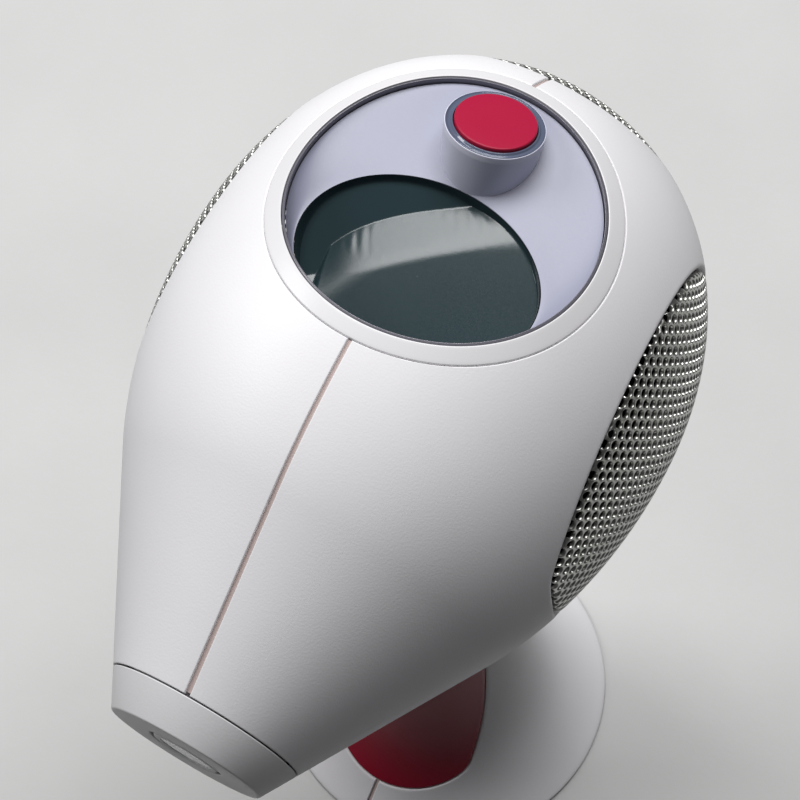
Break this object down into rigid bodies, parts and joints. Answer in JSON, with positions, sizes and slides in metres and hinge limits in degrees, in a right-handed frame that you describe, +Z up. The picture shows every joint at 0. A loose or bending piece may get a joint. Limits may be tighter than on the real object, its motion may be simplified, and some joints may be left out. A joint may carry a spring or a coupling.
{
  "type": "ipl hair remover",
  "caption": "Cordless light-based hair remover: egg-shaped head with a round treatment tip, display window, power button and vents, on a grip with a flared foot.",
  "frame": {"origin": "centre of the resting plane under the round foot, on the grip's axis", "axes": "+Z up along the grip, -Y towards the treatment tip, +X to the right seen from the tip's rear; the plane X = 0 parts the two shells"},
  "size_m": [0.0818, 0.1197, 0.1881],
  "materials": {
    "shell_white": "satin",
    "panel_crimson": "gloss",
    "bezel_white": "gloss",
    "seal_grey": "matt",
    "dish_lavender": "gloss",
    "lens_smoke": "gloss",
    "display_black": "gloss",
    "board_green": "satin",
    "ring_grey": "translucent",
    "button_crimson": "satin",
    "switch_black": "matt",
    "nose_white": "satin",
    "sensor_steel": "satin",
    "clear_glass": "gloss",
    "bracket_grey": "matt",
    "engine_brass": "satin",
    "sink_aluminium": "satin",
    "chassis_aluminium": "satin",
    "fan_black": "matt",
    "grille_steel": "satin",
    "cell_blue": "gloss",
    "plate_white": "matt",
    "pad_grey": "matt",
    "screw_steel": "satin"
  },
  "bodies": {
    "housing": {"left_shell": "shell_white", "right_shell": "shell_white", "front_panel": "panel_crimson", "window_bezel": "bezel_white", "window_seal": "seal_grey", "display_dish": "dish_lavender", "display_lens": "lens_smoke", "display_module": "display_black", "display_board": "board_green", "post_ring": "ring_grey", "button_switch": "switch_black", "button_board": "board_green", "nose_ring": "nose_white", "sensor_ring": "sensor_steel", "sensor_board": "board_green", "treatment_window": "clear_glass", "light_guide": "clear_glass", "optics_bracket": "bracket_grey", "light_engine": "engine_brass", "heat_sink": "sink_aluminium", "chassis": "chassis_aluminium", "fan_frame": "fan_black", "left_grille": "grille_steel", "right_grille": "grille_steel", "rear_grille": "grille_steel", "main_board": "board_green", "battery_cell": "cell_blue", "battery_holder": "bracket_grey", "buzzer": "switch_black", "charge_jack": "switch_black", "foot_plate": "plate_white", "foot_pad": "pad_grey", "shell_screws": "screw_steel", "foot_screws": "screw_steel"},
    "button": {"power_button": "button_crimson"},
    "rotor": {"fan_rotor": "fan_black"}
  },
  "joints": [
    {"name": "button_press", "type": "slide", "parent": "housing", "child": "button", "axis": [0, -0.3778, -0.9259], "range_m": [0, 0.0008], "stiffness_N_per_m": 1500, "springref_m": -0.0005},
    {"name": "fan_spin", "type": "hinge", "parent": "housing", "child": "rotor", "pos_m": [0, 0.03511, 0.15139], "axis": [0, 0.9962, 0.0872], "continuous": true}
  ]
}
